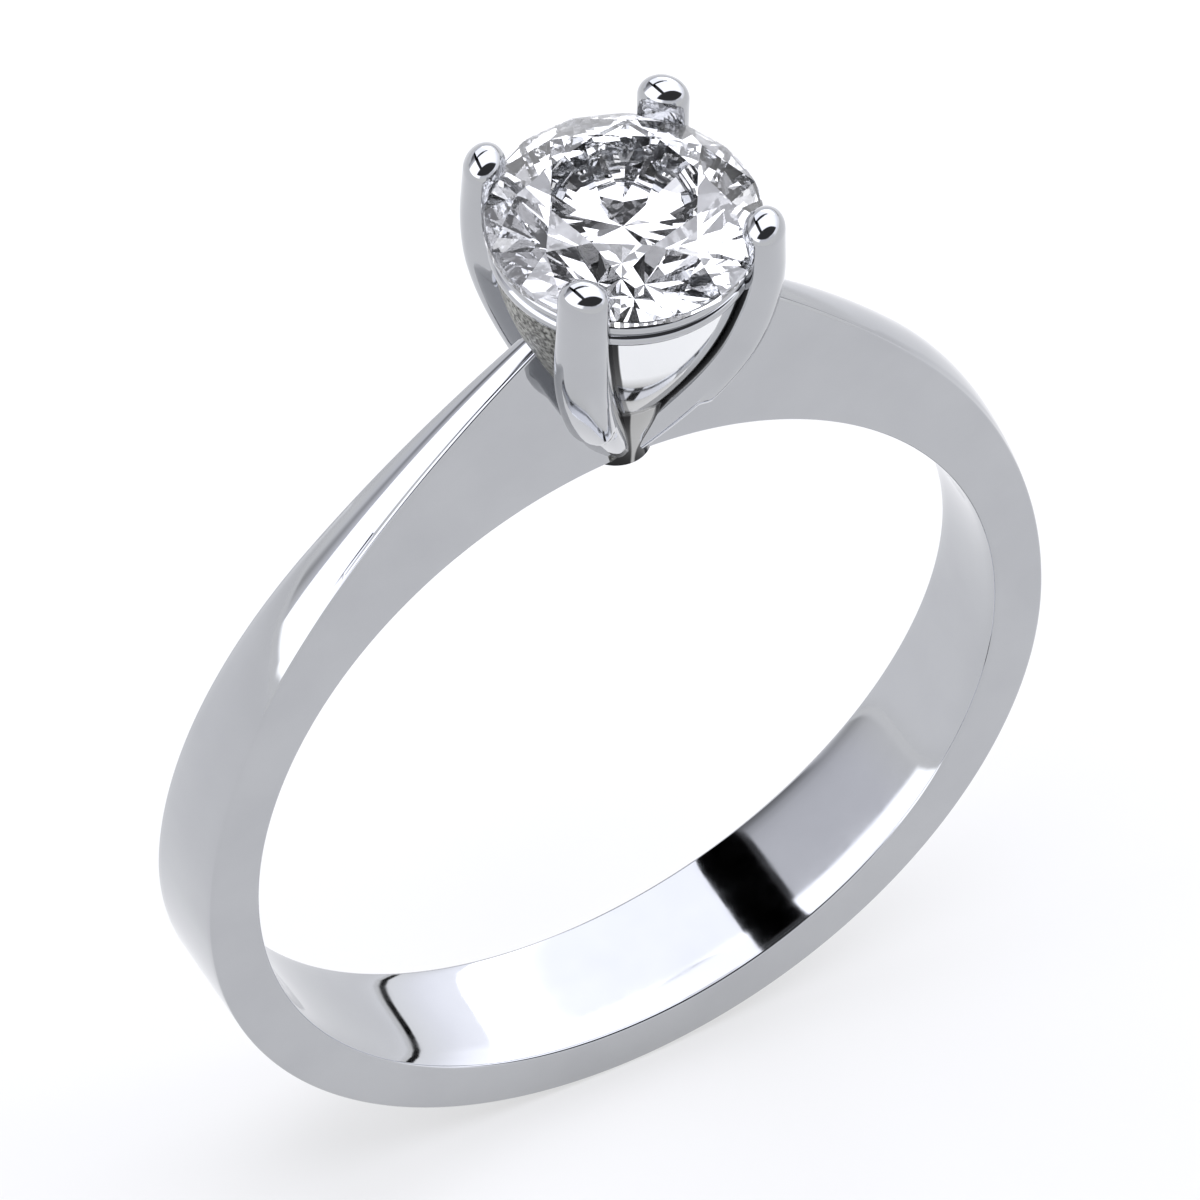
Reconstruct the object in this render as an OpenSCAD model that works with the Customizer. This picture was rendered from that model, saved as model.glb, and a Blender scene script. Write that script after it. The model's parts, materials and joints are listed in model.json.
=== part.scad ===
// Solitaire engagement ring: a tapering band with raised shoulders, and a four-claw head
// that holds one round brilliant. Millimetres. The origin is the centre of the finger hole,
// the hole runs along Y, the band lies in the XZ plane and the stone is at +Z.

/* [Band] */
// Radius of the finger hole
bore_r = 8.6; // [8.2:0.1:9.0]
// Radial thickness of the band at its sides and bottom
band_t = 1.2; // [1.0:0.05:1.5]
// Width of the band at the bottom
width_bottom = 3.0; // [2.6:0.1:3.4]
// Width of the shoulders at the level of the finger hole's top
width_top = 1.2; // [1.0:0.05:1.4]
// Radius of the arc that lifts each side of the band away from the finger
flank_r = 12.7; // [12:0.1:13.5]
// How far round from the side the lifting arc runs before it straightens, in degrees
flank_angle = 40; // [35:1:45]
// Radius of the straighter arc along the top of each shoulder
shoulder_r = 27.5; // [22:0.5:40]

/* [Stone] */
// Diameter of the round brilliant at its girdle
stone_d = 5.6; // [5.4:0.05:5.8]
// Height of the middle of the girdle above the finger hole
girdle_rise = 6.5; // [6.3:0.05:6.8]
// Table diameter, corner to corner, as a share of the stone's diameter
table_share = 0.56; // [0.53:0.01:0.6]
// Slope of the main crown facets, in degrees
crown_angle = 33; // [31:0.5:35]
// Slope of the main pavilion facets, in degrees
pavilion_angle = 40.8; // [40:0.2:41.6]
// Thickness of the girdle where the main facets meet it
girdle_t = 0.17; // [0.14:0.01:0.22]
// Turn of the stone in its seat, in degrees
stone_turn = -8; // [-22:1:22]

/* [Claws] */
// Width of a claw, across its outer face
claw_w = 1.12; // [1.0:0.02:1.2]
// Width of a claw where it leaves the foot
claw_root_w = 0.92; // [0.8:0.02:1.0]
// Depth of a claw, outer face to inner face
claw_t = 0.84; // [0.76:0.02:0.9]
// Distance of the claw tips from the middle of the stone
claw_reach = 2.87; // [2.8:0.01:2.95]
// Height of the middle of a tip above the middle of the girdle
tip_rise = 0.62; // [0.5:0.02:0.75]

/* [Head] */
// Radius of the foot where it meets the finger hole
foot_r = 0.74; // [0.7:0.02:0.8]
// Radius of the foot where the cup starts to open
waist_r = 1.12; // [1.05:0.01:1.2]
// Radius of the cup at its rim, under the seat rail
rim_r = 2.62; // [2.55:0.01:2.68]
// Wall of the cup
cup_wall = 0.35; // [0.3:0.05:0.45]
// Height of the seat rail
rail_h = 0.62; // [0.5:0.02:0.7]

/* [Hidden] */

metal = [0.78, 0.79, 0.81];
bright_metal = [0.86, 0.87, 0.90];
stone_tint = [0.85, 0.92, 1.0, 0.6];

// Gap left for solder, and round the stone
solder = 0.01;
round_fn = 180;
// Longer than anything it has to cut through
through = 40;

band_r = bore_r + band_t;
girdle_z = bore_r + girdle_rise;
stone_r = stone_d / 2;

// Side view of the shoulders: where the two arcs meet, and their centres
flank_x = band_r - flank_r;
join = [flank_x + flank_r * cos(flank_angle), flank_r * sin(flank_angle)];
shoulder_c = join - shoulder_r * [cos(flank_angle), sin(flank_angle)];
beyond_join = 2 * join;
above = 2 * girdle_z;

// Front view of the band: its sides lean in slightly at the bottom and more at the top
half_bottom = width_bottom / 2;
half_top = width_top / 2;
// Lean of the band's sides at the bottom, then how fast it grows with height
bottom_slope = 0.021;
rise_to_top = band_r + bore_r;
taper_bend = 2 * (half_bottom - half_top - bottom_slope * rise_to_top) / pow(rise_to_top, 2);
// The shoulders end under this level
taper_top = girdle_z - 1.2;
taper_low = -band_r - 1;
taper_steps = 12;

// Stone: levels are measured from the top edge of the girdle
table_r = table_share * stone_r;
crown_h = (stone_r - table_r) * tan(crown_angle);
table_edge_r = table_r * cos(22.5);
star_r = (table_edge_r + stone_r) / 2;
star_z = crown_h - (star_r * cos(22.5) - table_r) * tan(crown_angle);
keel_r = 0.22 * stone_r;
keel_z = -girdle_t - (stone_r - keel_r * cos(22.5)) * tan(pavilion_angle);
culet_z = -girdle_t - stone_r * tan(pavilion_angle);
girdle_steps = 96;
stone_z = girdle_z + girdle_t / 2;

// Head levels
seat_drop = 0.1;
seat_z = girdle_z - girdle_t / 2 - seat_drop;
rail_z = seat_z - rail_h;
foot_z = bore_r + 1.9;
// The foot starts inside the finger hole, which then cuts it
foot_low = bore_r - 0.1;
// How far the cup's bowed wall is pulled out over the foot, and in under the rim
foot_pull = [0.6, 1.1];
rim_pull = [-0.24, -1.5];
cup_floor = foot_z + 0.9;
cup_steps = 8;
// The rail stands this far outside the cup, and its inside this far in from the rim
rail_proud = 0.08;
rail_inset = 0.36;
rail_bevel = 0.1;
rail_r = rim_r + rail_proud;

// Claws: stations along the claw, and points round it
claw_steps = 15;
cap_steps = 5;
claw_sides = 16;
tip_len = claw_t * 0.55;
// Where the claw's middle line starts inside the foot, and what pulls it out into a bow
root_r = 0.35;
root_rise = 0.2;
low_pull = [1.9, bore_r + 2.4];
high_pull = [claw_reach + 0.13, girdle_z - 2.2];
bend_z = girdle_z - 0.1;
bend_r = claw_reach + 0.03;
// The claw is at its full width this share of the way up
full_width_at = 0.625;
// 1 is a round section, and less is squarer
shaft_power = 0.72;
tip_power = 0.9;
// The dome stops short of a point, at this angle
cap_end = 86;

// A point on a cubic curve
function bezier(p, t) = pow(1 - t, 3) * p[0] + 3 * pow(1 - t, 2) * t * p[1]
    + 3 * (1 - t) * t * t * p[2] + pow(t, 3) * p[3];

// ---------- band ----------

// Side view of the band, solid: a circle below, and two arcs up each shoulder
module side_view() {
    circle(r = band_r, $fn = round_fn);
    shoulder_view();
    mirror([1, 0]) shoulder_view();
}

module shoulder_view() {
    intersection() {
        translate([flank_x, 0]) circle(r = flank_r, $fn = round_fn);
        polygon([[0, 0], [2 * band_r, 0], [2 * band_r, join[1]], beyond_join, join]);
    }
    intersection() {
        translate(shoulder_c) circle(r = shoulder_r, $fn = 2 * round_fn);
        polygon([[0, 0], join, beyond_join, [0, above]]);
    }
}

// Half the band's width at height z: a straight taper that closes faster towards the head
function half_width(z) = let (rise = z + band_r)
    half_bottom - bottom_slope * rise - taper_bend / 2 * pow(rise, 2);

// Front view of the band, solid, grown by gap: wide at the bottom, narrow at the head
module front_view(gap = 0) {
    levels = [for (i = [0:taper_steps]) taper_low + i * (taper_top - taper_low) / taper_steps];
    polygon(concat(
        [for (z = levels) [half_width(z) + gap, z]],
        [for (i = [taper_steps:-1:0]) [-half_width(levels[i]) - gap, levels[i]]]
    ));
}

module taper_slab(gap = 0) {
    rotate([90, 0, 90]) linear_extrude(through, center = true) front_view(gap);
}

module bore() {
    rotate([90, 0, 0]) cylinder(r = bore_r, h = through, center = true, $fn = round_fn);
}

module shank() color(metal) difference() {
    intersection() {
        rotate([90, 0, 0]) linear_extrude(through, center = true) side_view();
        taper_slab();
    }
    bore();
    head_outside(solder);
}

// ---------- head ----------

// Outer wall of the cup, foot to rim, bowed outwards
cup_curve = [
    [waist_r, foot_z], [waist_r, foot_z] + foot_pull, [rim_r, rail_z] + rim_pull, [rim_r, rail_z]
];
function cup_wall_points(inset) = [
    for (i = [0:cup_steps]) bezier(cup_curve, i / cup_steps) - [inset, 0]
];

// Solid inside the head's outer wall, grown by gap, up to the level where the stone sits
module head_outside(gap = 0) {
    rotate_extrude($fn = round_fn) polygon(concat(
        [[0, 0], [foot_r + gap, 0], [foot_r + gap, foot_low]],
        cup_wall_points(-gap),
        [[rail_r + gap, rail_z + rail_bevel], [rail_r + gap, seat_z + gap], [0, seat_z + gap]]
    ));
}

module head_cup() color(metal) difference() {
    rotate_extrude($fn = round_fn) polygon(concat(
        [[0, 0], [foot_r, 0], [foot_r, foot_low]],
        cup_wall_points(0),
        [for (i = [cup_steps:-1:1]) bezier(cup_curve, i / cup_steps) - [cup_wall, 0]],
        [[0, cup_floor]]
    ));
    bore();
}

// Ring under the girdle: its sloping top is the seat for the pavilion
module seat_rail() color(bright_metal) {
    slope = tan(pavilion_angle);
    inner_r = rim_r - rail_inset;
    lip_r = stone_r - (girdle_z - girdle_t / 2 - seat_z) / slope - 2 * solder;
    low_z = seat_z - (lip_r - inner_r) * slope;
    rotate_extrude($fn = round_fn) polygon([
        [inner_r, rail_z + solder], [rim_r, rail_z + solder], [rail_r, rail_z + rail_bevel],
        [rail_r, seat_z - rail_bevel / 2], [rail_r - rail_bevel / 2, seat_z], [lip_r, seat_z],
        [inner_r, low_z]
    ]);
}

// ---------- claws ----------

// Middle line of a claw, seen from the side: x is the distance from the head's axis
claw_line = [[root_r, bore_r + root_rise], low_pull, high_pull, [bend_r, bend_z]];
claw_tip = [claw_reach, girdle_z + tip_rise];

function claw_mid(i) = i <= claw_steps
    ? bezier(claw_line, i / claw_steps)
    : claw_tip + [0, tip_len * sin(90 * (i - claw_steps - 1) / cap_steps)];
function claw_dir(i) = let (
    a = claw_mid(max(i - 1, 0)),
    b = claw_mid(min(i + 1, claw_steps + 1))
) i > claw_steps ? [0, 1] : (b - a) / norm(b - a);
// Share of the full section left at a station: the tip closes as a dome
function claw_cap(i) = i <= claw_steps + 1 ? 1 : cos(cap_end * (i - claw_steps - 1) / cap_steps);
function claw_half_w(i) = claw_cap(i) * min(
    claw_w, claw_root_w + (claw_w - claw_root_w) * i / claw_steps / full_width_at
) / 2;
function claw_half_t(i) = claw_cap(i) * claw_t / 2;
// Squarish section on the shaft, rounder at the tip
function soften(v, i) = sign(v) * pow(abs(v), i <= claw_steps - 2 ? shaft_power : tip_power);
function claw_ring(i) = let (m = claw_mid(i), d = claw_dir(i)) [
    for (k = [0:claw_sides - 1]) let (
        a = 360 * k / claw_sides,
        across = claw_half_w(i) * soften(sin(a), i),
        out = claw_half_t(i) * soften(cos(a), i)
    ) [m[0] + d[1] * out, across, m[1] - d[0] * out]
];

claw_rings = claw_steps + cap_steps + 1;
claw_points = [for (i = [0:claw_rings]) each claw_ring(i)];
claw_faces = concat(
    [[for (k = [0:claw_sides - 1]) k]],
    [
        for (i = [0:claw_rings - 1], k = [0:claw_sides - 1])
        let (a = i * claw_sides, b = a + claw_sides, n = (k + 1) % claw_sides)
        each [[a + k, b + k, b + n], [a + k, b + n, a + n]]
    ],
    [[for (k = [claw_sides - 1:-1:0]) claw_rings * claw_sides + k]]
);

// Room for the stone: its outline turned about the axis, a touch larger
module stone_room() {
    gap = 2 * solder;
    translate([0, 0, stone_z]) rotate_extrude($fn = round_fn) polygon([
        [0, culet_z - gap], [stone_r + gap, -girdle_t - gap], [stone_r + gap, gap],
        [star_r + gap, star_z + gap], [table_r + gap, crown_h + gap], [0, crown_h + gap]
    ]);
}

module claw(turn) color(bright_metal) difference() {
    rotate([0, 0, turn]) polyhedron(claw_points, claw_faces);
    head_outside(solder);
    stone_room();
    taper_slab(solder);
    bore();
}

module claw_front_left() claw(-135);
module claw_front_right() claw(-45);
module claw_back_left() claw(135);
module claw_back_right() claw(45);

// ---------- stone ----------

// Height of the crown or pavilion break facets where they meet the round girdle: the plane
// through an inner corner and the two girdle points either side of azimuth a
function girdle_edge(a, inner_r, inner_z, level) = let (
    d = 11.25 - abs(11.25 - abs(a) % 45 % 22.5),
    chord_r = stone_r * cos(11.25),
    toe = stone_r * cos(11.25 - d),
    slope = (inner_z - level) / (chord_r - inner_r * cos(11.25))
) level - slope * (toe - chord_r);

module diamond() color(stone_tint) translate([0, 0, stone_z]) rotate([0, 0, stone_turn]) hull() {
    polyhedron(stone_points, [[for (i = [0:len(stone_points) - 1]) i]]);
}

eighths = [0:45:315];
function at(r, a, z) = [r * cos(a), r * sin(a), z];
stone_points = concat(
    [for (a = eighths) at(table_r, a, crown_h)],
    [for (a = eighths) at(star_r, a + 22.5, star_z)],
    [for (i = [0:girdle_steps - 1]) let (a = 360 * i / girdle_steps)
        at(stone_r, a, girdle_edge(a, star_r, star_z, 0))],
    [for (i = [0:girdle_steps - 1]) let (a = 360 * i / girdle_steps)
        at(stone_r, a, girdle_edge(a, keel_r, keel_z, -girdle_t))],
    [for (a = eighths) at(keel_r, a + 22.5, keel_z)],
    [[0, 0, culet_z]]
);

shank();
head_cup();
seat_rail();
claw_front_left();
claw_front_right();
claw_back_left();
claw_back_right();
diamond();
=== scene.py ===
"""Looks of the solitaire ring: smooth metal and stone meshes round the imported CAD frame, a pale
floor, a studio sky painted by direction, and the camera. Lengths are millimetres until a mesh, a
light, a material or the camera is made, and MM turns them into metres."""

import json
import math

import bmesh
import bpy
import numpy as np
from mathutils import Matrix, Vector


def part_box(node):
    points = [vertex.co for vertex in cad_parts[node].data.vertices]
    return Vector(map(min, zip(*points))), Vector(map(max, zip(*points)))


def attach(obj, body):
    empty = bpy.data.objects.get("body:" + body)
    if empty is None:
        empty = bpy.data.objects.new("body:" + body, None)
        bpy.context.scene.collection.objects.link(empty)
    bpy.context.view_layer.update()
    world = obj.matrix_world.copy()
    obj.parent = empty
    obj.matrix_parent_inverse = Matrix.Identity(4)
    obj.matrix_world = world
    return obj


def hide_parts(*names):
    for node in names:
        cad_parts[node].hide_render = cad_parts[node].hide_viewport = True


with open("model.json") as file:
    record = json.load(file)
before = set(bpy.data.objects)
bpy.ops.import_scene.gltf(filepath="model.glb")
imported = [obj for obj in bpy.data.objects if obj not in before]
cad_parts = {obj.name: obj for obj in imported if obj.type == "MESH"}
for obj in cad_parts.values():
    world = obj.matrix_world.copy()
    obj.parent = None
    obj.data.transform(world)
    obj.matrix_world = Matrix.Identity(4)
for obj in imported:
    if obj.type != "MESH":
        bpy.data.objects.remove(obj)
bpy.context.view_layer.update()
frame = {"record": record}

MM = 0.001


def sides(node):
    """Lowest and highest corners of a CAD node, in millimetres."""
    low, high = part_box(node)
    return low / MM, high / MM


# ---------- sizes that the frame gives ----------

shank_low, shank_high = sides("shank")
_, cup_high = sides("head_cup")
_, rail_high = sides("seat_rail")
stone_low, stone_high = sides("diamond")
BORE_R = frame["record"]["mounts"][0]["dims"]["r_mm"]
BAND_R = -shank_low.z
HALF_BOTTOM = shank_high.y
STONE_R = (stone_high.x - stone_low.x) / 2
RIM_R = cup_high.x
RAIL_OUTER_R = rail_high.x
RAIL_Z = cup_high.z
SEAT_Z = rail_high.z

# ---------- sizes of the design, as in the CAD source ----------

# Gap that keeps neighbouring pieces apart
GAP = 0.01

# Stone
GIRDLE_T = 0.17
CROWN_ANGLE = math.radians(33)
PAVILION_ANGLE = math.radians(40.8)
TABLE_R = 0.56 * STONE_R
STONE_TURN = math.radians(-8)
CROWN_H = (STONE_R - TABLE_R) * math.tan(CROWN_ANGLE)
GIRDLE_TOP = stone_high.z - CROWN_H
GIRDLE_Z = GIRDLE_TOP - GIRDLE_T / 2
FACET_COS = math.cos(math.radians(22.5))
STAR_R = (TABLE_R * FACET_COS + STONE_R) / 2
STAR_Z = CROWN_H - (STAR_R * FACET_COS - TABLE_R) * math.tan(CROWN_ANGLE)
KEEL_R = 0.22 * STONE_R
KEEL_Z = -GIRDLE_T - (STONE_R - KEEL_R * FACET_COS) * math.tan(PAVILION_ANGLE)
CULET_Z = -GIRDLE_T - STONE_R * math.tan(PAVILION_ANGLE)

# Band: the arcs of its side view, and the taper of its front view
FLANK_R = 12.7
FLANK_ANGLE = math.radians(40)
SHOULDER_R = 27.5
FLANK_X = BAND_R - FLANK_R
JOIN = (FLANK_X + FLANK_R * math.cos(FLANK_ANGLE), FLANK_R * math.sin(FLANK_ANGLE))
SHOULDER_C = (
    JOIN[0] - SHOULDER_R * math.cos(FLANK_ANGLE),
    JOIN[1] - SHOULDER_R * math.sin(FLANK_ANGLE),
)
HALF_TOP = 0.6
BOTTOM_SLOPE = 0.021
RISE_TO_TOP = BAND_R + BORE_R
TAPER_BEND = 2 * (HALF_BOTTOM - HALF_TOP - BOTTOM_SLOPE * RISE_TO_TOP) / RISE_TO_TOP**2

# Head
FOOT_R = 0.74
FOOT_Z = BORE_R + 1.9
WAIST_R = 1.12
CUP_WALL = 0.35
CUP_FLOOR_Z = FOOT_Z + 0.9
CUP_CURVE = (
    (WAIST_R, FOOT_Z),
    (WAIST_R + 0.6, FOOT_Z + 1.1),
    (RIM_R - 0.24, RAIL_Z - 1.5),
    (RIM_R, RAIL_Z),
)

# Claws
CLAW_W = 1.12
CLAW_ROOT_W = 0.92
CLAW_T = 0.84
CLAW_REACH = 2.87
TIP_Z = GIRDLE_Z + 0.62
TIP_LEN = 0.55 * CLAW_T
CLAW_LINE = (
    (0.35, BORE_R + 0.2),
    (1.9, BORE_R + 2.4),
    (CLAW_REACH + 0.13, GIRDLE_Z - 2.2),
    (CLAW_REACH + 0.03, GIRDLE_Z - 0.1),
)
CLAWS = {
    "claw_front_left": -135,
    "claw_front_right": -45,
    "claw_back_left": 135,
    "claw_back_right": 45,
}

# ---------- camera ----------

VIEW_AZIMUTH = math.radians(30.74)
VIEW_ELEVATION = math.radians(49.23)
VIEW_ROLL = math.radians(2.17)
VIEW_DISTANCE = 300
VIEW_TARGET = Vector((-0.20, 0, 3.69))
LENS = 442.3


def make_camera():
    camera = bpy.data.cameras.new("Camera")
    camera.lens = LENS
    camera.sensor_width = 36
    camera.clip_start = 0.01
    camera.clip_end = 10
    thing = bpy.data.objects.new("Camera", camera)
    bpy.context.scene.collection.objects.link(thing)
    back = Vector(
        (
            -math.sin(VIEW_AZIMUTH) * math.cos(VIEW_ELEVATION),
            -math.cos(VIEW_AZIMUTH) * math.cos(VIEW_ELEVATION),
            math.sin(VIEW_ELEVATION),
        )
    )
    level = Vector((math.cos(VIEW_AZIMUTH), -math.sin(VIEW_AZIMUTH), 0))
    up = back.cross(level)
    right = math.cos(VIEW_ROLL) * level + math.sin(VIEW_ROLL) * up
    up = math.cos(VIEW_ROLL) * up - math.sin(VIEW_ROLL) * level
    turn = Matrix((right, up, back)).transposed().to_4x4()
    thing.matrix_world = Matrix.Translation((VIEW_TARGET + back * VIEW_DISTANCE) * MM) @ turn
    bpy.context.scene.camera = thing


# ---------- helpers ----------


def blend(a, b, t):
    return a + (b - a) * t


def step(low, high, value):
    """0 below low, 1 above high, and smooth between them."""
    t = min(1.0, max(0.0, (value - low) / (high - low)))
    return t * t * (3 - 2 * t)


def bezier(points, t):
    weights = ((1 - t) ** 3, 3 * (1 - t) ** 2 * t, 3 * (1 - t) * t * t, t**3)
    return tuple(sum(w * p[axis] for w, p in zip(weights, points)) for axis in (0, 1))


def add_mesh(name, points, faces, material, node, sharp=35):
    """A mesh object in metres that stands for a CAD node, with smooth shading under a sharp angle."""
    mesh = bpy.data.meshes.new(name)
    mesh.from_pydata([Vector(p) * MM for p in points], [], faces)
    bm = bmesh.new()
    bm.from_mesh(mesh)
    bmesh.ops.remove_doubles(bm, verts=bm.verts, dist=1e-7)
    bmesh.ops.recalc_face_normals(bm, faces=bm.faces)
    bm.to_mesh(mesh)
    bm.free()
    mesh.shade_smooth()
    mesh.set_sharp_from_angle(angle=math.radians(sharp))
    mesh.materials.append(material)
    thing = bpy.data.objects.new(name, mesh)
    bpy.context.scene.collection.objects.link(thing)
    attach(thing, "root")
    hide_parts(node)
    return thing


def loft(rings, closed_along=False):
    """Points and faces of a skin over closed rings with the same number of points."""
    sides_round = len(rings[0])
    points = [p for ring in rings for p in ring]
    count = len(rings) if closed_along else len(rings) - 1
    faces = []
    for i in range(count):
        a, b = i * sides_round, (i + 1) % len(rings) * sides_round
        for k in range(sides_round):
            n = (k + 1) % sides_round
            faces.append((a + k, b + k, b + n, a + n))
    return points, faces


# ---------- band ----------


def half_width(z):
    rise = z + BAND_R
    return HALF_BOTTOM - BOTTOM_SLOPE * rise - TAPER_BEND / 2 * rise**2


def outer_r(angle):
    """Distance from the bore's axis to the band's outside, at an angle from the bottom."""
    x, z = math.sin(angle), -math.cos(angle)
    if z <= 0:
        return BAND_R
    if math.atan2(z, x) < math.atan2(JOIN[1], JOIN[0]):
        centre, radius = (FLANK_X, 0), FLANK_R
    else:
        centre, radius = SHOULDER_C, SHOULDER_R
    along = x * centre[0] + z * centre[1]
    return along + math.sqrt(along**2 - centre[0] ** 2 - centre[1] ** 2 + radius**2)


# Radius of the rolled edges, and the share of half the width that the faces between them take
EDGE = 0.07
FLAT_SHARE = 0.96
# How far the inside and the outside are crowned, at the edges
INNER_CROWN = 0.035
OUTER_CROWN = 0.14
# The outer crown grows between these angles from the bottom, in radians
CROWN_FROM, CROWN_FULL = 1.2, 2.4
# How far the band reaches into the head's wall
BAND_BITE = 0.06
EDGE_STEPS = 4
FLAT_STEPS = 14
FACE_STEPS = 10
BAND_STATIONS = 200
# Halvings in a search for a height or an angle
HALVINGS = 24


def band_section():
    """The band's section as (share of the way out, step out, share of half the width, step
    sideways), once round from the inner front edge: inside, back face, outside, front face."""
    arcs = [math.radians(90 * i / EDGE_STEPS) for i in range(EDGE_STEPS + 1)]
    flats = [-1 + 2 * i / FLAT_STEPS for i in range(1, FLAT_STEPS)]
    shares = [i / FACE_STEPS for i in range(1, FACE_STEPS)]
    section = [(0, 0, k * FLAT_SHARE, 0) for k in flats]
    section += [(0, EDGE * (1 - math.cos(a)), 1, -EDGE * (1 - math.sin(a))) for a in arcs]
    section += [(t, 0, 1, 0) for t in shares]
    section += [(1, -EDGE * (1 - math.sin(a)), 1, -EDGE * (1 - math.cos(a))) for a in arcs]
    section += [(1, 0, -k * FLAT_SHARE, 0) for k in flats]
    section += [(1, -EDGE * (1 - math.cos(a)), -1, EDGE * (1 - math.sin(a))) for a in arcs]
    section += [(1 - t, 0, -1, 0) for t in shares]
    section += [(0, EDGE * (1 - math.sin(a)), -1, EDGE * (1 - math.cos(a))) for a in arcs]
    return section


def band_point(part, angle, side):
    out, step_out, across, step_across = part
    r = blend(BORE_R, outer_r(angle), out) + step_out
    r += INNER_CROWN * across**4 * (1 - out) ** 4
    r -= OUTER_CROWN * across**2 * out**4 * step(CROWN_FROM, CROWN_FULL, angle)
    z = -r * math.cos(angle)
    return (side * r * math.sin(angle), across * half_width(z) + step_across, z)


def head_r(z):
    """Radius of the head's outer wall at height z."""
    if z <= FOOT_Z:
        return blend(FOOT_R, WAIST_R, step(BORE_R, FOOT_Z, z))
    low, high = 0.0, 1.0
    for _ in range(HALVINGS):
        middle = (low + high) / 2
        low, high = (middle, high) if bezier(CUP_CURVE, middle)[1] < z else (low, middle)
    return bezier(CUP_CURVE, low)[0]


def head_angle(part):
    """The angle from the bottom at which a line along the band meets the head."""
    low, high = math.radians(150), math.radians(179)
    for _ in range(HALVINGS):
        middle = (low + high) / 2
        x, y, z = band_point(part, middle, 1)
        outside = math.hypot(x, y) > head_r(z) - BAND_BITE
        low, high = (middle, high) if outside else (low, middle)
    return low


def make_shank(material):
    section = band_section()
    ends = [head_angle(part) for part in section]
    rings = []
    for i in range(-BAND_STATIONS, BAND_STATIONS + 1):
        share = abs(i) / BAND_STATIONS
        side = 1 if i >= 0 else -1
        rings.append([band_point(part, end * share, side) for part, end in zip(section, ends)])
    points, faces = loft(rings)
    count = len(section)
    for start in (0, (len(rings) - 1) * count):
        faces.append(tuple(range(start, start + count)))
    return add_mesh("band", points, faces, material, "shank")


# ---------- head ----------


def revolve(profile, segments=240):
    """A closed profile of (radius, height) turned about the head's axis."""
    rings = []
    for i in range(segments):
        a = 2 * math.pi * i / segments
        rings.append([(r * math.cos(a), r * math.sin(a), z) for r, z in profile])
    return loft(rings, closed_along=True)


CUP_STEPS = 48
FOOT_STEPS = 12
# Radius at which the cup's profile stops short of its axis
AXIS_R = 0.02
RAIL_WIDTH = 0.36


def make_cup(material):
    outer = [bezier(CUP_CURVE, i / CUP_STEPS) for i in range(CUP_STEPS + 1)]
    inner = [(r - CUP_WALL, z) for r, z in outer if z > CUP_FLOOR_Z]
    foot_low = math.sqrt(BORE_R**2 - FOOT_R**2)
    foot = [(AXIS_R, BORE_R), (FOOT_R * 0.6, foot_low + 0.02), (FOOT_R, foot_low)]
    foot += [(head_r(z), z) for z in np.linspace(foot_low + 0.1, FOOT_Z - 0.05, FOOT_STEPS)]
    profile = foot + outer + inner[::-1] + [(AXIS_R, CUP_FLOOR_Z)]
    points, faces = revolve(profile)
    return add_mesh("cup", points, faces, material, "head_cup")


def make_rail(material):
    """A rail of two beads outside, with a slope inside that follows the stone's pavilion."""
    slope = math.tan(PAVILION_ANGLE)
    inner_r = RIM_R - RAIL_WIDTH
    lip_r = STONE_R - (GIRDLE_Z - GIRDLE_T / 2 - SEAT_Z) / slope - 2 * GAP
    low_z = SEAT_Z - (lip_r - inner_r) * slope
    outside = []
    bead = (SEAT_Z - RAIL_Z - GAP) / 4
    for middle in (RAIL_Z + GAP + bead, SEAT_Z - bead):
        for a in range(-80, 81, 10):
            turn = math.radians(a)
            out = RAIL_OUTER_R - bead + bead * math.cos(turn)
            outside.append((out, middle + bead * math.sin(turn)))
    profile = [(inner_r, RAIL_Z + GAP)] + outside + [(lip_r, SEAT_Z), (inner_r, low_z)]
    points, faces = revolve(profile)
    return add_mesh("rail", points, faces, material, "seat_rail")


# ---------- claws ----------

CLAW_STEPS = 120
CAP_STEPS = 16
CLAW_SIDES = 48
# Width of the tips, which is for looks only
TIP_W = 1.06
# The shaft turns into the tip from this share of the way up
TIP_FROM = 0.72
# 1 is a round section, and less is squarer
SHAFT_POWER = 0.66
# A claw is at its full width 1 / WIDENING of the way up
WIDENING = 1.6
# Share of the way over which a claw's direction is measured
SPAN = 0.02
# Share of its size at which the dome of a tip ends
CAP_END = 0.01
# How far a claw may reach into the cup's wall
CLAW_BITE = 0.15
# The pad on a claw's outer face: shares of the way up at which its rounded end lies, in the
# middle and at the sides, and its height over the claw below it. It is for looks only
PAD_LOW, PAD_HIGH, PAD_RISE = 0.27, 0.42, 0.12
# The step at the pad's end runs from below it to above it by these shares
PAD_EDGE = (-0.02, 0.03)


def stone_room(z):
    """Radius that a claw keeps clear at height z, so that the stone has its room."""
    h = z - GIRDLE_TOP
    if h > CROWN_H or h < CULET_Z:
        return 0
    if h > 0:
        return STONE_R - h / math.tan(CROWN_ANGLE) + GAP
    if h > -GIRDLE_T:
        return STONE_R + GAP
    return STONE_R + (h + GIRDLE_T) / math.tan(PAVILION_ANGLE) + GAP


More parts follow.
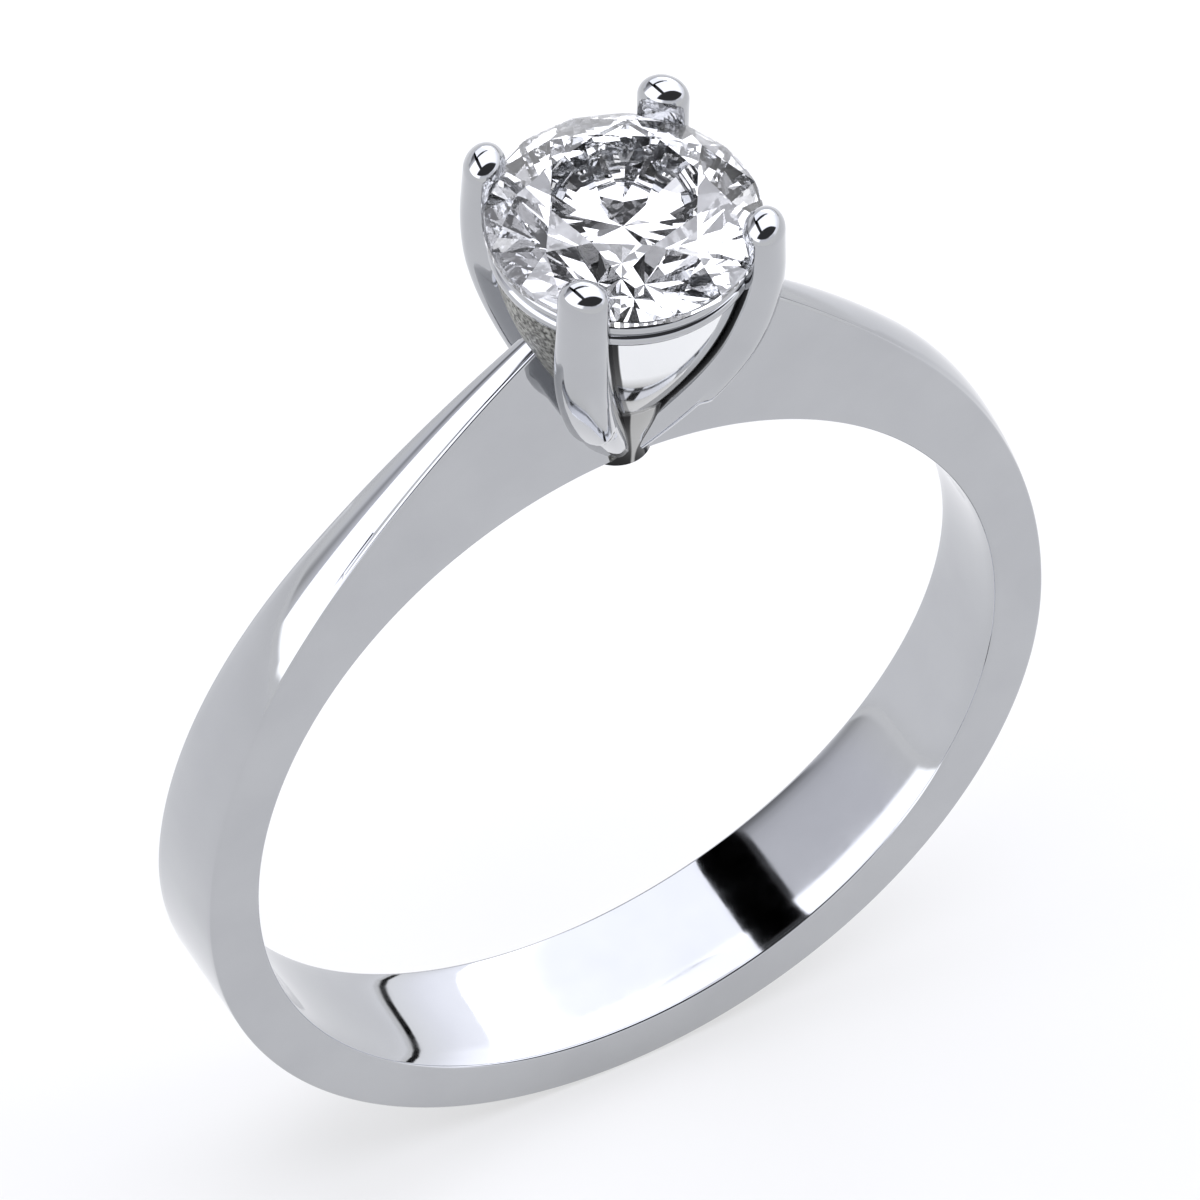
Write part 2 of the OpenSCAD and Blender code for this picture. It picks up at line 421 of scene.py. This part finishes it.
def claw_station(i):
    """Middle, direction, half sizes and roundness of the claw's section at a station."""
    if i <= CLAW_STEPS:
        t = i / CLAW_STEPS
        middle = bezier(CLAW_LINE, t)
        ahead, behind = bezier(CLAW_LINE, min(1, t + SPAN)), bezier(CLAW_LINE, max(0, t - SPAN))
        along = Vector((ahead[0] - behind[0], ahead[1] - behind[1])).normalized()
        width = min(CLAW_W, CLAW_ROOT_W + (CLAW_W - CLAW_ROOT_W) * WIDENING * t)
        near_tip = step(TIP_FROM, 1.0, t)
        width = blend(width, TIP_W, near_tip)
        return middle, along, width / 2, CLAW_T / 2, blend(SHAFT_POWER, 1.0, near_tip)
    turn = math.radians(90 * (i - CLAW_STEPS - 1) / CAP_STEPS)
    middle = (CLAW_REACH, TIP_Z + TIP_LEN * math.sin(turn))
    close = max(math.cos(turn), CAP_END)
    return middle, Vector((0, 1)), TIP_W / 2 * close, CLAW_T / 2 * close, 1.0


def pad_step(i, across_share):
    """How far the outer face lies below the pad: nothing on the pad, all below its U-shaped end."""
    pad_end = blend(PAD_HIGH, PAD_LOW, math.sqrt(max(0, 1 - across_share**2)))
    low, high = (pad_end + shift for shift in PAD_EDGE)
    return PAD_RISE * (1 - step(low, high, i / CLAW_STEPS))


def claw_ring(i, turn):
    """The claw's section at a station, kept out of the stone, the cup and the bore."""
    middle, along, half_w, half_t, soft = claw_station(i)
    ring = []
    for k in range(CLAW_SIDES):
        a = 2 * math.pi * k / CLAW_SIDES
        s, c = math.sin(a), math.cos(a)
        across = half_w * math.copysign(abs(s) ** soft, s)
        out = half_t * math.copysign(abs(c) ** soft, c)
        if c > 0:
            out -= min(c * 2, 1) * pad_step(i, across / half_w)
        rho, z = middle[0] + along.y * out, middle[1] - along.x * out
        r = math.hypot(rho, across)
        keep = stone_room(z)
        if z < SEAT_Z:
            keep = max(keep, head_r(min(z, RAIL_Z)) - CLAW_BITE)
        if r < keep:
            rho, across = rho * keep / max(r, 1e-6), across * keep / max(r, 1e-6)
        z = max(z, math.sqrt(BORE_R**2 - min(BORE_R, rho) ** 2))
        ring.append(
            (
                rho * math.cos(turn) - across * math.sin(turn),
                rho * math.sin(turn) + across * math.cos(turn),
                z,
            )
        )
    return ring


def make_claw(node, degrees, material):
    turn = math.radians(degrees)
    rings = [claw_ring(i, turn) for i in range(CLAW_STEPS + CAP_STEPS + 2)]
    points, faces = loft(rings)
    faces.append(tuple(range(CLAW_SIDES)))
    top = (len(rings) - 1) * CLAW_SIDES
    faces.append(tuple(range(top, top + CLAW_SIDES)))
    name = node.replace("claw", "prong")
    return add_mesh(name, points, faces, material, node, sharp=50)


# ---------- stone ----------

GIRDLE_STEPS = 96


def girdle_edge(a, inner_r, inner_z, level):
    """Height at which the break facets over or under the girdle meet it, at azimuth a."""
    d = 11.25 - abs(11.25 - a % 45 % 22.5)
    chord_r = STONE_R * math.cos(math.radians(11.25))
    toe = STONE_R * math.cos(math.radians(11.25 - d))
    slope = (inner_z - level) / (chord_r - inner_r * math.cos(math.radians(11.25)))
    return level - slope * (toe - chord_r)


def make_stone(material):
    def at(r, degrees, z):
        a = math.radians(degrees) + STONE_TURN
        return (r * math.cos(a), r * math.sin(a), GIRDLE_TOP + z)

    points = []
    for a in range(0, 360, 45):
        points.append(at(TABLE_R, a, CROWN_H))
        points.append(at(STAR_R, a + 22.5, STAR_Z))
        points.append(at(KEEL_R, a + 22.5, KEEL_Z))
    for i in range(GIRDLE_STEPS):
        a = 360 * i / GIRDLE_STEPS
        points.append(at(STONE_R, a, girdle_edge(a, STAR_R, STAR_Z, 0)))
        points.append(at(STONE_R, a, girdle_edge(a, KEEL_R, KEEL_Z, -GIRDLE_T)))
    points.append(at(0, 0, CULET_Z))
    bm = bmesh.new()
    for p in points:
        bm.verts.new(p)
    bmesh.ops.convex_hull(bm, input=bm.verts)
    bmesh.ops.dissolve_limit(bm, angle_limit=math.radians(0.2), verts=bm.verts, edges=bm.edges)
    bm.verts.index_update()
    corners = [v.co.copy() for v in bm.verts]
    faces = [tuple(v.index for v in f.verts) for f in bm.faces]
    bm.free()
    thing = add_mesh("brilliant", corners, faces, material, "diamond")
    thing.data.shade_flat()
    return thing


# ---------- materials ----------


class Nodes:
    """A material's node tree, with short calls for the nodes that the materials share."""

    def __init__(self, name):
        self.material = bpy.data.materials.new(name)
        self.material.use_nodes = True
        self.tree = self.material.node_tree
        self.shader = self.tree.nodes["Principled BSDF"]
        self.place = self.tree.nodes.new("ShaderNodeTexCoord").outputs["Object"]

    def node(self, kind, inputs, **settings):
        n = self.tree.nodes.new(kind)
        for key, value in settings.items():
            setattr(n, key, value)
        for key, value in inputs.items():
            if isinstance(value, bpy.types.NodeSocket):
                self.tree.links.new(value, n.inputs[key])
            else:
                n.inputs[key].default_value = value
        return n

    def math(self, operation, a, b=0.0):
        return self.node("ShaderNodeMath", {0: a, 1: b}, operation=operation).outputs[0]

    def noise(self, size_mm, detail=3.0, rough=0.5):
        """Noise whose spots are about size_mm across."""
        made = self.node(
            "ShaderNodeTexNoise",
            {"Vector": self.place, "Scale": 1 / (size_mm * MM), "Detail": detail, "Roughness": rough},
        )
        return made.outputs["Fac"]

    def remap(self, value, low, high, to_low, to_high):
        made = self.node(
            "ShaderNodeMapRange",
            {"Value": value, "From Min": low, "From Max": high, "To Min": to_low, "To Max": to_high},
        )
        return made.outputs["Result"]

    def bump(self, height, depth_mm, normal=None):
        inputs = {"Height": height, "Strength": 1.0, "Distance": depth_mm * MM}
        if normal:
            inputs["Normal"] = normal
        return self.node("ShaderNodeBump", inputs).outputs["Normal"]

    def mix(self, share, a, b):
        made = self.node("ShaderNodeMix", {}, data_type="RGBA")
        for socket, value in (("Factor", share), ("A", a), ("B", b)):
            target = [s for s in made.inputs if s.name == socket and s.enabled][-1]
            if isinstance(value, bpy.types.NodeSocket):
                self.tree.links.new(value, target)
            else:
                target.default_value = value
        return [s for s in made.outputs if s.enabled][0]

    def feed(self, name, value):
        if isinstance(value, bpy.types.NodeSocket):
            self.tree.links.new(value, self.shader.inputs[name])
        else:
            self.shader.inputs[name].default_value = value


# Darker than white gold really is, for the grey that it shows on a white floor
POLISHED_DARK = (0.455, 0.463, 0.478, 1)
POLISHED_LIGHT = (0.480, 0.488, 0.502, 1)


def polished_metal(name):
    """Mirror-polished white gold with faint waves and a trace of fine polishing grain."""
    m = Nodes(name)
    m.feed("Metallic", 1.0)
    tone = m.remap(m.noise(2.0, 4), 0.35, 0.65, 0.0, 1.0)
    m.feed("Base Color", m.mix(tone, POLISHED_DARK, POLISHED_LIGHT))
    m.feed("Roughness", m.remap(m.noise(0.5, 6, 0.6), 0.3, 0.7, 0.035, 0.075))
    waves = m.bump(m.noise(1.3, 1), 0.0012)
    m.feed("Normal", m.bump(m.noise(0.05, 3), 0.00006, waves))
    return m.material


# The cup's colour high up is painted light: much lighter than the other white gold, so that the cup's
# inside under the stone looks lit
CAST_PAINTED_LIGHT = (0.86, 0.87, 0.88, 1)
CAST_LOW_TONE = (0.42, 0.42, 0.41, 1)
GRAIN_LIGHT = (0.42, 0.42, 0.39, 1)
GRAIN_DARK = (0.03, 0.03, 0.024, 1)
# Black painted beside each claw: painted shade where claw and cup meet
CLAW_SHADE_PAINT = (0.02, 0.02, 0.02, 1)
# Heights between which the cup's colour turns from its own tone to the painted lighter one
LIGHTER_FROM_Z, LIGHTER_FULL_Z = 12.2, 12.9
# The granular sides start where x passes y, along a wavy and soft line
WOBBLE = 0.3
GRAIN_FROM, GRAIN_FULL = -0.1, 0.3
GRAIN_DEPTH = 0.06
# Edges of the painted shade beside a claw, low down and where the claw is full, as differences of x
# and y, which are sqrt 2 times the distance across the claw
CLAW_SHADE_LOW = (CLAW_ROOT_W / 2 + 0.02) * math.sqrt(2)
CLAW_SHADE_HIGH = (CLAW_W / 2 + 0.07) * math.sqrt(2)
CLAW_SHADE_FULL_Z = FOOT_Z + 2.3
CLAW_SHADE_FADE = 0.04


def cast_metal(name):
    """White gold of the cup: polished where it faces the bore's ends, left granular from the casting
    over the shoulders, painted lighter high up as painted light, and painted black beside the claws
    as painted shade where claw and cup meet."""
    m = Nodes(name)
    m.feed("Metallic", 1.0)
    xyz = m.node("ShaderNodeSeparateXYZ", {"Vector": m.place})
    height = xyz.outputs["Z"]
    x, y = (m.math("ABSOLUTE", xyz.outputs[axis]) for axis in ("X", "Y"))
    side = m.math("SUBTRACT", x, y)
    across = m.math("ABSOLUTE", side)
    wobble = m.remap(m.noise(0.5, 2), 0.3, 0.7, -WOBBLE * MM, WOBBLE * MM)
    rough = m.remap(m.math("ADD", side, wobble), GRAIN_FROM * MM, GRAIN_FULL * MM, 0.0, 1.0)
    grain = m.noise(0.10, 5, 0.62)
    granular = m.mix(m.remap(grain, 0.40, 0.62, 0.0, 1.0), GRAIN_DARK, GRAIN_LIGHT)
    # painted light: the cup turns much lighter from these heights up
    bright = m.remap(height, LIGHTER_FROM_Z * MM, LIGHTER_FULL_Z * MM, 0.0, 1.0)
    cup_colour = m.mix(bright, CAST_LOW_TONE, CAST_PAINTED_LIGHT)
    # painted shade: black on the cup in a band beside each claw
    shade_edge = m.remap(height, BORE_R * MM, CLAW_SHADE_FULL_Z * MM, CLAW_SHADE_LOW * MM, CLAW_SHADE_HIGH * MM)
    claw_shade = m.remap(m.math("SUBTRACT", across, shade_edge), 0.0, CLAW_SHADE_FADE * MM, 1.0, 0.0)
    cup_colour = m.mix(claw_shade, cup_colour, CLAW_SHADE_PAINT)
    m.feed("Base Color", m.mix(rough, cup_colour, granular))
    m.feed("Roughness", m.remap(rough, 0.0, 1.0, 0.06, 0.38))
    m.feed("Normal", m.bump(m.math("MULTIPLY", grain, rough), GRAIN_DEPTH))
    return m.material


DIAMOND_IOR = 2.417


def brilliant_glass(name):
    m = Nodes(name)
    m.feed("Base Color", (1, 1, 1, 1))
    m.feed("Roughness", 0.0)
    m.feed("IOR", DIAMOND_IOR)
    m.feed("Transmission Weight", 1.0)
    return m.material


# ---------- floor, sky and lights ----------


FLOOR_REACH = 1000
FLOOR_FRONT = -65
FLOOR_GAP = 0.02
FLOOR_GLOW = 0.58


def make_floor():
    """A pale sheet under the ring. Over half of its brightness is its own glow, because the sky
    above it is mostly dark."""
    m = Nodes("floor_paper")
    m.feed("Base Color", (0.3, 0.3, 0.3, 1))
    m.feed("Roughness", 0.9)
    m.feed("Specular IOR Level", 0.1)
    m.feed("Emission Color", (1, 1, 1, 1))
    m.feed("Emission Strength", FLOOR_GLOW)
    mesh = bpy.data.meshes.new("floor")
    reach, front, z = FLOOR_REACH * MM, FLOOR_FRONT * MM, (-BAND_R - FLOOR_GAP) * MM
    mesh.from_pydata(
        [(-reach, front, z), (reach, front, z), (reach, reach, z), (-reach, reach, z)],
        [],
        [(0, 1, 2, 3)],
    )
    mesh.materials.append(m.material)
    floor = bpy.data.objects.new("floor", mesh)
    bpy.context.scene.collection.objects.link(floor)


# Power of an area light per square metre and unit of radiance
AREA_SCALE = math.pi


def make_softbox(name, x, y, height, radiance, tint):
    """A level area light over the ring, hidden from the camera. x and y are its ranges in mm."""
    light = bpy.data.lights.new(name, "AREA")
    light.shape = "RECTANGLE"
    light.size, light.size_y = (x[1] - x[0]) * MM, (y[1] - y[0]) * MM
    light.energy = radiance * AREA_SCALE * light.size * light.size_y
    light.color = tint
    box = bpy.data.objects.new(name, light)
    box.location = Vector((sum(x) / 2, sum(y) / 2, height)) * MM
    box.visible_camera = False
    bpy.context.scene.collection.objects.link(box)


class Sky:
    """The world's nodes: brightness by direction. A direction is measured by turn, its angle in
    the plane across the bore, from straight up towards +X in degrees; by depth and height, its
    shares of +Y and +Z; and by slant, its share of Y either way."""

    def __init__(self):
        world = bpy.data.worlds.new("studio")
        bpy.context.scene.world = world
        world.use_nodes = True
        self.tree = world.node_tree
        self.back = self.tree.nodes["Background"]
        way = self.tree.nodes.new("ShaderNodeTexCoord").outputs["Generated"]
        xyz = self.tree.nodes.new("ShaderNodeSeparateXYZ")
        self.tree.links.new(way, xyz.inputs[0])
        x, depth, height = (xyz.outputs[i] for i in range(3))
        turn = self.math("MULTIPLY", self.math("ARCTAN2", x, height), 180 / math.pi)
        slant = self.math("ABSOLUTE", depth)
        self.measures = {"turn": turn, "depth": depth, "height": height, "slant": slant}
        self.seen = self.tree.nodes.new("ShaderNodeLightPath").outputs["Is Camera Ray"]
        self.value = CEILING

    def math(self, operation, a, b=0.0):
        n = self.tree.nodes.new("ShaderNodeMath")
        n.operation = operation
        for socket, value in zip(n.inputs, (a, b)):
            if isinstance(value, bpy.types.NodeSocket):
                self.tree.links.new(value, socket)
            else:
                socket.default_value = value
        return n.outputs[0]

    def ramp(self, value, low, high):
        n = self.tree.nodes.new("ShaderNodeMapRange")
        n.interpolation_type = "SMOOTHSTEP"
        self.tree.links.new(value, n.inputs["Value"])
        n.inputs["From Min"].default_value = low
        n.inputs["From Max"].default_value = high
        return n.outputs["Result"]

    def band(self, value, low, high, soft_low, soft_high):
        """1 between low and high, fading out over the soft widths outside them."""
        rise = self.ramp(value, low - soft_low, low)
        fall = self.math("SUBTRACT", 1.0, self.ramp(value, high, high + soft_high))
        return self.math("MULTIPLY", rise, fall)

    def lay(self, level, mask):
        """Lay a level over the sky where mask is 1."""
        rest = self.math("MULTIPLY", self.value, self.math("SUBTRACT", 1.0, mask))
        self.value = self.math("ADD", rest, self.math("MULTIPLY", mask, level))

    def paint(self, level, **ranges):
        """Lay a level over the directions that lie in every range, which is given per measure
        as low, high and the soft widths outside them."""
        masks = [self.band(self.measures[name], *limits) for name, limits in ranges.items()]
        mask = masks[0]
        for other in masks[1:]:
            mask = self.math("MULTIPLY", mask, other)
        self.lay(level, mask)


# What the parts of the sky show to the ring, where white paper is about 1
WHITE = 1.05
BLACK = 0.0
CEILING = 0.06
RIGHT_WALL = 1.40
LEFT_WALL = 0.98
FAR_WALL = 0.25
LEFT_BOX = 2.5
RIGHT_STRIP = 1.8
OVERHEAD_BOX = 2.3
# Tints of the sky near the horizon and higher up
LOW_TINT = (0.985, 0.99, 1.0, 1)
HIGH_TINT = (0.95, 0.96, 1.04, 1)


def make_sky():
    s = Sky()
    s.paint(RIGHT_WALL, turn=(60, 87, 30, 1))
    s.paint(LEFT_WALL, turn=(-185, -37, 5, 1))
    # left softbox, which stops in a sharp edge, and the darker wall beyond it
    s.paint(LEFT_BOX, turn=(-112, -36, 6, 1), depth=(-0.75, 0.495, 0.02, 0.012))
    s.paint(FAR_WALL, turn=(-92, -36, 6, 1), depth=(0.80, 2, 0.28, 0.1))
    # bright strip that fades out down the right wall
    s.paint(RIGHT_STRIP, turn=(44, 62, 8, 24))
    # overhead softbox, short of the direction that the stone's table mirrors
    s.paint(OVERHEAD_BOX, turn=(-20, 52, 1, 30), depth=(-0.40, 0.50, 0.02, 0.02))
    # dark gap between the two softboxes
    s.paint(BLACK, turn=(-34, -21, 1, 1), depth=(0.34, 2, 0.02, 1))
    # white from the horizon down, and a thin dark line on the right, just above it
    s.paint(WHITE, height=(-1, 0.03, 0.01, 0.03))
    s.paint(BLACK, turn=(86.5, 88.7, 0.5, 0.5), depth=(0.3, 0.8, 0.05, 0.05))
    # the ceiling comes down at the front, over low white walls at both ends of the bore
    s.paint(CEILING, depth=(-2, -0.45, 0.1, 0.08), height=(0.32, 0.9, 0.04, 0.05))
    s.paint(WHITE, slant=(0.8, 2, 0.15, 1), height=(-1, 0.22, 0.01, 0.12))
    # the backdrop that the camera sees is plain white in every view
    s.lay(WHITE, s.seen)
    s.tree.links.new(s.value, s.back.inputs["Strength"])
    # the node's colours A and B are its inputs 6 and 7
    tint = s.tree.nodes.new("ShaderNodeMix")
    tint.data_type = "RGBA"
    s.tree.links.new(s.ramp(s.measures["height"], -0.1, 0.3), tint.inputs[0])
    tint.inputs[6].default_value = LOW_TINT
    tint.inputs[7].default_value = HIGH_TINT
    s.tree.links.new(tint.outputs[2], s.back.inputs["Color"])


# ---------- the scene ----------

scene = bpy.context.scene
scene.view_settings.view_transform = "Standard"
# Light inside the stone takes many bounces, and those that stay inside count as glossy
BOUNCES = 32
scene.cycles.max_bounces = BOUNCES
scene.cycles.transmission_bounces = BOUNCES
scene.cycles.glossy_bounces = BOUNCES
scene.cycles.caustics_reflective = True
scene.cycles.caustics_refractive = True

make_camera()
make_floor()
make_sky()
make_softbox(
    "rear_softbox", x=(-21, 120), y=(40, 140), height=60, radiance=2.0, tint=(0.94, 0.955, 1.04)
)

white_gold = polished_metal("white_gold")
cast_gold = cast_metal("white_gold_cast")
make_shank(white_gold)
make_cup(cast_gold)
make_rail(white_gold)
for claw, degrees in CLAWS.items():
    make_claw(claw, degrees, white_gold)
make_stone(brilliant_glass("diamond_glass"))
